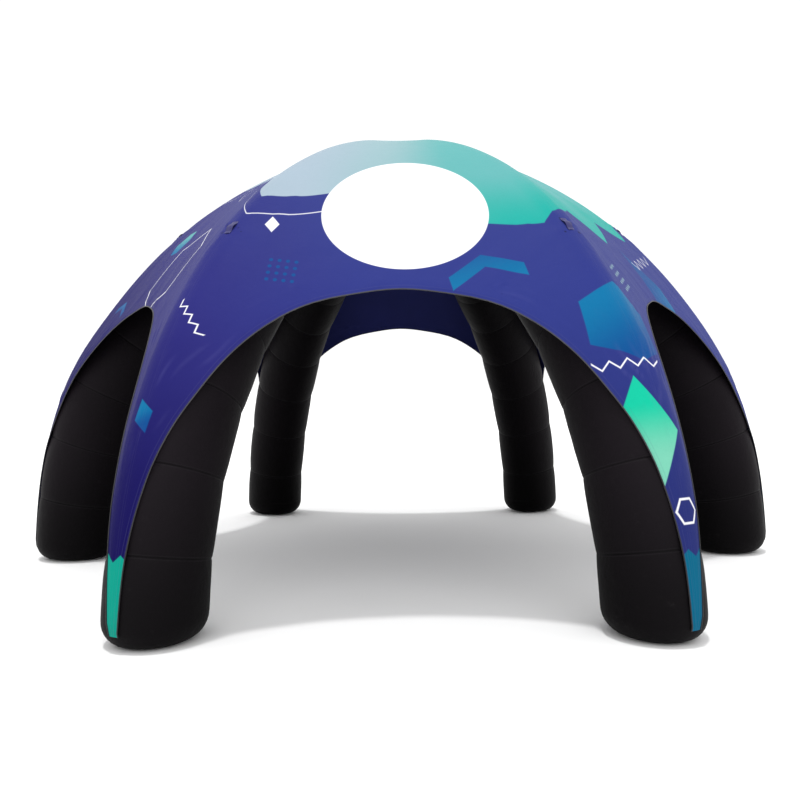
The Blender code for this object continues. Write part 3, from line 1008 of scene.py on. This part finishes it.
class Graph:
    """A material and the nodes that feed its Principled shader."""

    def __init__(self, name):
        self.material = bpy.data.materials.new(name)
        self.material.use_nodes = True
        self.tree = self.material.node_tree
        self.shader = self.tree.nodes["Principled BSDF"]
        self.place = self.node("TexCoord").outputs["Object"]
        self.x, self.y, self.z = self.split(self.place)

    def node(self, kind, inputs=(), **settings):
        """A new node with its settings made and its inputs fed."""
        made = self.tree.nodes.new("ShaderNode" + kind)
        for name, value in settings.items():
            setattr(made, name, value)
        for key, value in dict(inputs).items():
            self.link(value, made.inputs[key])
        return made

    def link(self, value, socket):
        """Feed a socket from a value, or set it to a plain one."""
        if isinstance(value, Value):
            value = value.socket
        if isinstance(value, bpy.types.NodeSocket):
            self.tree.links.new(value, socket)
        else:
            socket.default_value = value

    def math(self, operation, *values):
        """One step of arithmetic."""
        return Value(self, self.node("Math", enumerate(values), operation=operation).outputs[0])

    def split(self, vector):
        """The three numbers of a vector socket."""
        return [Value(self, out) for out in self.node("SeparateXYZ", {0: vector}).outputs]

    def join(self, *numbers):
        """A vector socket from three numbers."""
        return self.node("CombineXYZ", enumerate(numbers)).outputs[0]

    def along_axis(self, vector, axis_vector, offset):
        """How far a place lies along an axis from an offset."""
        inputs = {0: vector, 1: tuple(axis_vector)}
        made = self.node("VectorMath", inputs, operation="DOT_PRODUCT")
        return Value(self, made.outputs["Value"]) - offset

    def attribute(self, name):
        """A number stored on the mesh's vertices."""
        return Value(self, self.node("Attribute", attribute_name=name).outputs["Fac"])

    def uv(self):
        """The two numbers of the UV map, in metres."""
        return self.split(self.node("UVMap").outputs["UV"])[:2]

    def noise(self, scale, detail=3.0, roughness=0.55):
        """Noise between 0 and 1 over the object's own place."""
        inputs = {"Vector": self.place, "Scale": scale, "Detail": detail, "Roughness": roughness}
        return Value(self, self.node("TexNoise", inputs).outputs["Fac"])

    def mix(self, first, second, share):
        """A colour between two others."""
        colours = [(*c, 1.0) if isinstance(c, tuple) else c for c in (first, second)]
        inputs = {0: share, 6: colours[0], 7: colours[1]}
        return self.node("Mix", inputs, data_type="RGBA").outputs[2]

    def shaded(self, colour, amount):
        """A colour made darker or lighter by a number."""
        inputs = {0: colour, "Scale": amount}
        return self.node("VectorMath", inputs, operation="SCALE").outputs[0]

    def bump(self, *heights):
        """Feed the shader's normal from (height in metres, strength) pairs."""
        below = {}
        for height, strength in heights:
            inputs = {"Height": height, "Strength": strength, "Distance": 1.0, **below}
            below = {"Normal": self.node("Bump", inputs).outputs[0]}
        self.link(below["Normal"], self.shader.inputs["Normal"])

    def finish(self, colour, roughness, specular, sheen=0.0, sheen_tint=(1.0, 1.0, 1.0)):
        """Feed the shader's other sockets."""
        inputs = {
            "Base Color": colour,
            "Roughness": roughness,
            "Specular IOR Level": specular,
            "Sheen Weight": sheen,
            "Sheen Roughness": SHEEN_ROUGHNESS,
            "Sheen Tint": (*sheen_tint, 1.0),
        }
        for key, value in inputs.items():
            self.link(value, self.shader.inputs[key])
        return self.material


def wave(along, pitch):
    """A sine wave along a place."""
    return (along * (math.tau / pitch)).sine()


def weave(u, v, pitch):
    """Height of a plain weave, in metres, from places along both threads."""
    return wave(u, pitch) * wave(v, pitch) * (pitch * 0.06)


def dashes(along, pitch, fill):
    """One on each stitch of a row, and zero between them."""
    return 1.0 - (along / pitch).part().above(fill)


def line_mask(away, half_width, soft=0.0015):
    """One within half a width of a line, from the distance to it."""
    return 1.0 - away.ramp(half_width, half_width + soft)


# ---- materials of the air frame, piping and webbing ----

BLACK_CLOTH = (0.0055, 0.0041, 0.0055)
BLACK_DUST = (0.020, 0.019, 0.019)
# painted shade for the seams' grooves
GROOVE_SHADE_BLACK = (0.0015, 0.0014, 0.0016)
THREAD_GREY = (0.022, 0.021, 0.023)
PIPING_DARK = (0.030, 0.030, 0.036)
PIPING_GREY = (0.105, 0.104, 0.115)
WEBBING_DARK = (0.020, 0.018, 0.085)
WEBBING_BLUE = (0.034, 0.032, 0.150)
WEBBING_THREAD = (0.11, 0.11, 0.22)
BLUE_SHEEN = (0.7, 0.7, 1.0)

STITCH_HALF_WIDTH = 0.0009
FRAME_WEAVE_PITCH = 0.0024
FRAME_STITCH_PITCH = 0.0055
FRAME_STITCH_AT = 0.010
TWIST_PITCH = 0.006
RIB_PITCH = 0.0045
CROSS_PITCH = 0.0026
BOX_STITCH_HALF_WIDTH = 0.0007
BOX_STITCH_PITCH = 0.004


def air_frame_material():
    """Black coated polyester: fine weave, faint blotches, cross seams with two stitch rows, and
    painted shade in the seams' grooves, low down, high up under the canopy and on the inner sides.
    """
    graph = Graph("air_frame_cloth")
    u, v = graph.uv()
    seam = graph.attribute("seam")
    inner = graph.attribute("inner")
    blotch = graph.noise(2.3, 4.0)
    mottle = graph.noise(38.0, 3.0, 0.7)
    # painted light and shade: the legs are lighter at mid height, darker towards the ground and
    # high up under the canopy, and darker on their inner sides, where shade falls
    lit = graph.z.ramp(0.1, 1.1) * (1.0 - graph.z.ramp(1.5, 2.3) * 0.55)
    painted_light_and_shade = (0.45 + lit * 1.05) * (1.0 - inner * 0.75)
    colour = graph.shaded(BLACK_CLOTH, (0.78 + blotch * 0.34 + mottle * 0.22) * painted_light_and_shade)
    scuff = graph.noise(9.0, 6.0, 0.7).ramp(0.60, 0.80)
    low = 1.0 - graph.z.ramp(0.0, 0.45)
    colour = graph.mix(colour, BLACK_DUST, scuff * 0.10 + low * scuff * 0.35)
    row = line_mask(abs(seam - FRAME_STITCH_AT), STITCH_HALF_WIDTH)
    row = row * dashes(u, FRAME_STITCH_PITCH, 0.68)
    colour = graph.mix(colour, THREAD_GREY, row * 0.35)
    # painted shade: a dark line along each cross seam's groove; the same mask sinks the groove in
    # the bump
    groove_and_shade = line_mask(seam, 0.0012, 0.004)
    colour = graph.mix(colour, GROOVE_SHADE_BLACK, groove_and_shade * 0.7)
    graph.bump(
        (graph.noise(15.0, 5.0, 0.62) * 0.010, 0.45),
        (weave(u, v, FRAME_WEAVE_PITCH), 0.35),
        (row * 0.0008 - groove_and_shade * 0.002, 0.5),
    )
    rough = 0.50 + blotch * 0.14 + mottle * 0.06
    # painted shade: the inner sides reflect less
    gloss = (0.062 + scuff * 0.03) * (1.0 - inner * 0.5)
    return graph.finish(colour, rough, gloss, 0.006)


def piping_material():
    """Grey cord cover, woven on the bias, with painted shade that darkens it towards the bottom.
    """
    graph = Graph("piping_cord")
    u, v = graph.uv()
    twist = wave(u + v, TWIST_PITCH)
    tone = graph.noise(6.0, 3.0)
    colour = graph.mix(PIPING_DARK, PIPING_GREY, tone * 0.75)
    # painted shade: the cord is darker towards the bottom
    shade = 0.35 + graph.z.ramp(0.4, 1.6) * 0.65
    colour = graph.shaded(colour, (0.9 + twist * 0.12) * shade)
    graph.bump((twist * 0.0003, 0.6), (graph.noise(260.0, 2.0) * 0.0004, 0.4))
    return graph.finish(colour, 0.52 + tone * 0.12, 0.22, 0.05)


def webbing_material():
    """Flat polyester webbing in the canopy's colour, with box stitches at both ends."""
    graph = Graph("guy_webbing")
    u, v = graph.uv()
    rib = (wave(u, RIB_PITCH) + 1.0) * 0.5
    cross = (wave(v, CROSS_PITCH) + 1.0) * 0.5
    tone = graph.noise(21.0, 3.0)
    colour = graph.mix(WEBBING_DARK, WEBBING_BLUE, rib * 0.5 + tone * 0.4)
    end = abs(v).ramp(LOOP_LENGTH * 0.36, LOOP_LENGTH * 0.37)
    across = line_mask(abs(abs(v) - LOOP_LENGTH * 0.40), BOX_STITCH_HALF_WIDTH)
    border = line_mask(abs(abs(u) - LOOP_WIDTH * 0.38), BOX_STITCH_HALF_WIDTH) * end
    stitch = across.high(border) * dashes(u + v, BOX_STITCH_PITCH, 0.6)
    colour = graph.mix(colour, WEBBING_THREAD, stitch)
    graph.bump((rib * 0.0006, 0.7), (cross * 0.0003, 0.6), (stitch * 0.0006, 0.5))
    return graph.finish(colour, 0.58 + tone * 0.12, 0.25, 0.15, BLUE_SHEEN)


# ---- the printed canopy ----

INDIGO_DEEP = (0.0045, 0.0012, 0.084)
INDIGO = (0.021, 0.020, 0.150)
INDIGO_BLUE = (0.023, 0.032, 0.182)
PALE_BLUE = (0.31, 0.39, 0.46)
PALE_AQUA = (0.25, 0.39, 0.42)
TEAL = (0.10, 0.355, 0.35)
DEEP_TEAL = (0.012, 0.33, 0.285)
PRINT_WHITE = (0.84, 0.84, 0.85)
CYAN = (0.002, 0.140, 0.300)
OCEAN = (0.003, 0.062, 0.225)
MINT = (0.005, 0.480, 0.290)
PALE_MINT = (0.170, 0.520, 0.370)
TIP_TEAL = (0.001, 0.270, 0.200)
TIP_CYAN = (0.001, 0.105, 0.190)
CLOTH_DUST = (0.09, 0.085, 0.09)
CLOTH_THREAD = (0.10, 0.10, 0.24)
# painted highlight on the wrinkles' crests
CREST_HIGHLIGHT = (0.13, 0.13, 0.34)
CLOTH_SHEEN = (0.80, 0.78, 1.0)
UNDER_DARK = (0.0055, 0.0080, 0.055)
UNDER_NAVY = (0.010, 0.013, 0.090)
UNDER_THREAD = (0.03, 0.03, 0.09)
FLOOR_WHITE = (0.93, 0.93, 0.93)

# the bare white oval on the front: its middle, half sizes and the slope of its plane
OVAL_MIDDLE = (0.040, -1.854, 2.677)
OVAL_HALF_WIDTH = 0.566
OVAL_HALF_HEIGHT = 0.359
OVAL_TILT = math.radians(100.1)

# the toothed edge of the pale cap: its reach from the middle, its teeth round the tent,
# and how much its reach differs towards the front and right, the right and the left
CAP_REACH = 1.84
CAP_TEETH = 13
CAP_TOOTH_TURN = 0.30
CAP_TOOTH_DEPTH = 0.24
CAP_FRONT_RIGHT = 0.22
CAP_RIGHT = 0.24
CAP_LEFT = 0.62
# the thin line beyond the cap's edge, on the left alone
TRACE_STEP = 0.17

# the coloured tips of the tails, each with a toothed upper edge
TIP_HEIGHT = 0.56
TIP_TEETH = 30.0
TIP_TOOTH_DEPTH = 0.09

PRINT_SOFT = 0.004
THIN_LINE = 0.0065
CLOTH_WEAVE_PITCH = 0.0022
HEM_ROWS_AT = (0.006, 0.024)
SEAM_ROW_AT = 0.008
CLOTH_STITCH_PITCH = 0.006
HEM_STEP = 0.0008

# motifs: shape, azimuth and height of its middle, half width, turn in degrees, two colours
MOTIFS = (
    ("hexagon", 216.0, 2.38, 0.36, 25.0, None, None),
    ("diamond", 246.5, 2.60, 0.048, 0.0, PRINT_WHITE, PRINT_WHITE),
    ("zigzag", 241.5, 1.94, 0.17, -52.0, None, None),
    ("chevron", 283.5, 2.30, 0.25, 195.0, CYAN, OCEAN),
    ("hexagon", 301.0, 1.90, 0.27, 20.0, CYAN, OCEAN),
    ("diamond", 298.0, 1.22, 0.21, 8.0, MINT, PALE_MINT),
    ("zigzag", 298.0, 1.60, 0.22, 10.0, None, None),
    ("hexagon", 300.5, 0.80, 0.070, 0.0, None, None),
    ("dots", 309.0, 2.22, 0.12, 15.0, PALE_AQUA, PALE_AQUA),
    ("diamond", 240.0, 1.34, 0.070, 25.0, CYAN, OCEAN),
    ("dots", 251.0, 2.24, 0.11, -8.0, OCEAN, OCEAN),
    ("diamond", 336.0, 2.00, 0.25, 30.0, OCEAN, CYAN),
    ("hexagon", 197.0, 2.68, 0.13, 5.0, TEAL, CYAN),
    ("chevron", 190.0, 2.20, 0.15, 170.0, OCEAN, CYAN),
    ("zigzag", 345.0, 2.45, 0.35, 14.0, None, None),
)


def inside(away):
    """One inside a shape and zero outside, from the distance to its edge."""
    return 1.0 - away.ramp(-PRINT_SOFT, PRINT_SOFT)


def radius(x, y):
    """Distance from the middle, from two numbers across."""
    return (x * x + y * y).power(0.5)


def motif_distance(shape, u, v, size):
    """Distance to a motif's edge, negative inside."""
    if shape == "diamond":
        return (abs(u) * 0.86 + abs(v) * 0.51) - size * 0.86
    if shape == "hexagon":
        return (abs(u) * 0.866 + abs(v) * 0.5).high(abs(v)) - size
    if shape == "chevron":
        return (abs(v - abs(u) * 0.55) - size * 0.22).high(abs(u) - size)
    pitch = size * 0.5
    du = (u / pitch).part() - 0.5
    if shape == "zigzag":
        return (abs(v - abs(du) * pitch) - THIN_LINE).high(abs(u) - size)
    dot = radius(du, (v / pitch).part() - 0.5) * pitch - pitch * 0.24
    return dot.high(abs(u) - size).high(abs(v) - size)


def plane_axes(normal, spin):
    """Two axes across and up a plane that faces along normal, turned by spin degrees."""
    across = Vector((0, 0, 1)).cross(normal).normalized()
    up = normal.cross(across)
    turn = math.radians(spin)
    return (
        across * math.cos(turn) + up * math.sin(turn),
        up * math.cos(turn) - across * math.sin(turn),
    )


def cloth_spot(places, normals, azimuth, height):
    """The cloth's place and normal nearest to an azimuth and height."""
    turn = math.radians(azimuth)
    aside = places[:, 0] * -math.sin(turn) + places[:, 1] * math.cos(turn)
    outward = places[:, 0] * math.cos(turn) + places[:, 1] * math.sin(turn)
    away = aside ** 2 + (places[:, 2] - height) ** 2 + np.where(outward > 0, 0.0, 99.0)
    pick = int(np.argmin(away))
    return Vector(places[pick]), Vector(normals[pick]).normalized()


def with_motifs(graph, base, canopy):
    """The motifs over a colour. Both long sides of the tent carry the same ones."""
    flip = 1.0 - graph.y.above(0.0) * 2.0
    folded = graph.join(graph.x * flip, graph.y * flip, graph.z)
    outer = len(canopy.data.vertices) // 2
    places, normals = (vertex_vectors(canopy, name)[:outer] for name in ("co", "normal"))
    for shape, azimuth, height, size, spin, first, second in MOTIFS:
        middle, normal = cloth_spot(places, normals, azimuth, height)
        across, up = plane_axes(normal, spin)
        u = graph.along_axis(folded, across, middle.dot(across))
        v = graph.along_axis(folded, up, middle.dot(up))
        away = motif_distance(shape, u, v, size)
        if first is None:
            outline = away if shape == "zigzag" else abs(away) - THIN_LINE
            base = graph.mix(base, PRINT_WHITE, inside(outline) * 0.9)
        else:
            fill = graph.mix(second, first, (v / size).ramp(-0.9, 0.9))
            base = graph.mix(base, fill, inside(away) * 0.93)
    return base


def with_cap(graph, base, heading, shade):
    """The pale cap with its toothed edge, and the thin line beyond it, over a colour."""
    tooth = abs((heading * (CAP_TEETH / math.tau) + CAP_TOOTH_TURN).part() - 0.5) * 2.0
    aside = abs(heading)
    wide = 1.0 - aside.ramp(math.radians(75), math.radians(100))
    right = 1.0 - aside.ramp(math.radians(35), math.radians(58))
    left = aside.ramp(math.radians(118), math.radians(138))
    edge = CAP_REACH + wide * CAP_FRONT_RIGHT - right * CAP_RIGHT - left * CAP_LEFT
    edge = edge + (tooth - 0.5) * CAP_TOOTH_DEPTH - radius(graph.x, graph.y)
    across = (graph.x + shade * 0.3).ramp(-1.1, 1.4)
    cap = graph.mix(PALE_BLUE, PALE_AQUA, across.ramp(0.10, 0.45))
    cap = graph.mix(cap, TEAL, across.ramp(0.40, 0.72))
    cap = graph.mix(cap, DEEP_TEAL, (1.0 - edge.ramp(0.0, 0.55)) * across.ramp(0.5, 0.9))
    base = graph.mix(base, cap, edge.ramp(-PRINT_SOFT, PRINT_SOFT))
    trace = abs(edge + TRACE_STEP) - THIN_LINE * 0.5
    left_only = 1.0 - graph.x.ramp(-0.45, -0.30)
    return graph.mix(base, PRINT_WHITE, inside(trace) * left_only * 0.85)


def print_colour(graph, canopy):
    """The printed design: indigo in print shades with painted shade towards the bottom, motifs, a
    pale cap, coloured tips and the oval.
    """
    shade = graph.noise(0.8, 2.0)
    sideways = (graph.x + graph.z * 0.45 + shade * 0.8).ramp(-1.6, 1.6)
    base = graph.mix(INDIGO_DEEP, INDIGO, sideways.low(0.5) * 2.0)
    base = graph.mix(base, INDIGO_BLUE, (sideways - 0.5).high(0.0) * 2.0)
    # painted shade: the indigo is darker towards the bottom
    base = graph.shaded(base, 0.72 + graph.z.ramp(0.6, 2.2) * 0.30)
    base = with_motifs(graph, base, canopy)

    heading = graph.math("ARCTAN2", graph.y, graph.x)
    base = with_cap(graph, base, heading, shade)

    teeth = abs((heading * TIP_TEETH).part() - 0.5) * TIP_TOOTH_DEPTH
    other_leg = 1.0 - (heading * 3.0 + math.pi / 2).sine().above(0.0)
    tip = graph.mix(TIP_TEAL, TIP_CYAN, other_leg)
    base = graph.mix(base, tip, inside(graph.z + teeth - TIP_HEIGHT))

    middle = Vector(OVAL_MIDDLE)
    up = Vector((0, math.cos(OVAL_TILT), math.sin(OVAL_TILT)))
    u = graph.along_axis(graph.place, Vector((1, 0, 0)), middle.x) / OVAL_HALF_WIDTH
    v = graph.along_axis(graph.place, up, middle.dot(up)) / OVAL_HALF_HEIGHT
    oval = (radius(u, v) - 1.0) * OVAL_HALF_WIDTH
    front = 1.0 - graph.y.above(-0.6)
    return graph.mix(base, PRINT_WHITE, inside(oval) * front)


def cloth_relief(graph):
    """Where the canopy's stitches show, and the relief of its stitches, hems and weave."""
    u, v = graph.uv()
    edge = graph.attribute("edge")
    ridge = graph.attribute("ridge")
    along = graph.attribute("along")
    first, second = (line_mask(abs(edge - at), STITCH_HALF_WIDTH) for at in HEM_ROWS_AT)
    hem_rows = first.high(second) * dashes(along + ridge, CLOTH_STITCH_PITCH, 0.65)
    seam_row = line_mask(abs(ridge - SEAM_ROW_AT), STITCH_HALF_WIDTH)
    seam_row = seam_row * dashes(along, CLOTH_STITCH_PITCH, 0.65)
    stitches = hem_rows.high(seam_row * 0.4)
    hem = (1.0 - edge.ramp(0.027, 0.030)) * HEM_STEP
    seam = (1.0 - ridge.ramp(0.011, 0.014)) * HEM_STEP
    relief = (
        (weave(u, v, CLOTH_WEAVE_PITCH), 0.35),
        (stitches * -0.0007 + (hem + seam), 0.6),
    )
    return stitches, relief


def canopy_material(canopy):
    """Printed polyester: satin weave, soft sheen, hems and seams with stitch rows, and painted
    highlights on the crests of the tension wrinkles.
    """
    graph = Graph("canopy_print")
    stitches, relief = cloth_relief(graph)
    mottle = graph.noise(46.0, 3.0, 0.7)
    broad = graph.noise(1.7, 4.0)
    colour = print_colour(graph, canopy)
    colour = graph.shaded(colour, 0.93 + mottle * 0.06 + broad * 0.08)
    dust = graph.noise(7.0, 6.0, 0.7).ramp(0.56, 0.80) * (1.0 - graph.z.ramp(0.0, 0.5))
    colour = graph.mix(colour, CLOTH_DUST, dust * 0.30)
    colour = graph.mix(colour, CLOTH_THREAD, stitches * 0.25)
    # painted highlight: a lighter blue on the crests of the tension wrinkles
    crest = graph.attribute("crest") * (0.10 + graph.noise(4.0, 3.0) * 0.25)
    colour = graph.mix(colour, CREST_HIGHLIGHT, crest)
    graph.bump((graph.noise(9.0, 5.0, 0.62) * 0.009, 0.45), *relief)
    rough = 0.42 + mottle * 0.08 + broad * 0.08
    return graph.finish(colour, rough, 0.035, 0.008, CLOTH_SHEEN)


def underside_material():
    """The back of the printed cloth: dark navy with the weave and the turned hems."""
    graph = Graph("canopy_underside")
    stitches, relief = cloth_relief(graph)
    broad = graph.noise(1.4, 4.0)
    colour = graph.mix(UNDER_DARK, UNDER_NAVY, broad)
    colour = graph.shaded(colour, 0.9 + graph.noise(52.0, 3.0, 0.7) * 0.2)
    colour = graph.mix(colour, UNDER_THREAD, stitches * 0.5)
    graph.bump((graph.noise(12.0, 5.0, 0.6) * 0.004, 0.25), *relief)
    return graph.finish(colour, 0.55 + broad * 0.12, 0.08, 0.03, BLUE_SHEEN)


def floor_material():
    """Plain pale floor, slightly uneven in its gloss."""
    graph = Graph("pale_floor")
    tone = graph.noise(0.7, 3.0)
    graph.bump((graph.noise(30.0, 3.0) * 0.0006, 0.1))
    colour = graph.shaded(FLOOR_WHITE, 0.99 + tone * 0.02)
    return graph.finish(colour, 0.85 + tone * 0.1, 0.05)


black = air_frame_material()
charcoal = piping_material()
webbing = webbing_material()
navy = underside_material()

# ---- pieces ----

for index, (name, _, _) in enumerate(LEGS):
    leg = build_leg(index, black)
    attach(leg, "root")
    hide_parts("leg_" + name)
    loop = build_loop(index, webbing)
    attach(loop, "root")
    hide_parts("guy_loop_" + name)

crown = build_crown(black)
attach(crown, "root")
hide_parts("crown")

for index, (name, _, _) in enumerate(ARCHES):
    piping = build_piping(index, charcoal)
    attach(piping, "root")
    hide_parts("piping_" + name)

canopy = build_canopy(navy)
canopy.data.materials[0] = canopy_material(canopy)
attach(canopy, "root")
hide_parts(*["canopy_" + name for name, _, _ in ARCHES])

# ---- stage: floor, light and camera ----

FLOOR_CORNERS = ((-60, -30, 0), (60, -30, 0), (60, 120, 0), (-60, 120, 0))
FLOOR_HEIGHT = -0.002
WORLD_LIGHT = 1.08
# lights: name, energy, and spread and turns about X and Y in degrees
LIGHTS = (
    ("overhead", 1.20, 4.5, 4.0, -4.0),
    ("front", 0.55, 50.0, 48.0, 8.0),
)
CAMERA_PLACE = (0.0, -8.015, 1.551)
CAMERA_PITCH = 0.0233
CAMERA_ROLL = -0.0105
CAMERA_LENS = 40.806
CAMERA_SENSOR = 36.0
CAMERA_SHIFT = -0.0014

floor_data = bpy.data.meshes.new("floor")
floor_data.from_pydata(FLOOR_CORNERS, [], [(0, 1, 2, 3)])
floor_data.materials.append(floor_material())
floor = new_object("floor", floor_data)
floor.location.z = FLOOR_HEIGHT

for name, energy, spread, turn_x, turn_y in LIGHTS:
    light_data = bpy.data.lights.new(name, "SUN")
    light_data.energy = energy
    light_data.angle = math.radians(spread)
    light = new_object(name, light_data)
    light.rotation_euler = (math.radians(turn_x), math.radians(turn_y), 0.0)

world = bpy.data.worlds.new("studio")
world.use_nodes = True
background = world.node_tree.nodes["Background"].inputs
background["Color"].default_value = (1, 1, 1, 1)
background["Strength"].default_value = WORLD_LIGHT
bpy.context.scene.world = world
bpy.context.scene.view_settings.view_transform = "Standard"

camera_data = bpy.data.cameras.new("camera")
camera_data.sensor_width = CAMERA_SENSOR
camera_data.lens = CAMERA_LENS
camera_data.shift_x = CAMERA_SHIFT
camera = new_object("camera", camera_data)
forward = Vector((0, math.cos(CAMERA_PITCH), -math.sin(CAMERA_PITCH)))
upward = Vector((0, math.sin(CAMERA_PITCH), math.cos(CAMERA_PITCH)))
right = Vector((1, 0, 0))
rolled_right = right * math.cos(CAMERA_ROLL) + upward * math.sin(CAMERA_ROLL)
rolled_up = upward * math.cos(CAMERA_ROLL) - right * math.sin(CAMERA_ROLL)
turn = Matrix((rolled_right, rolled_up, -forward)).transposed().to_4x4()
camera.matrix_world = Matrix.Translation(CAMERA_PLACE) @ turn
bpy.context.scene.camera = camera
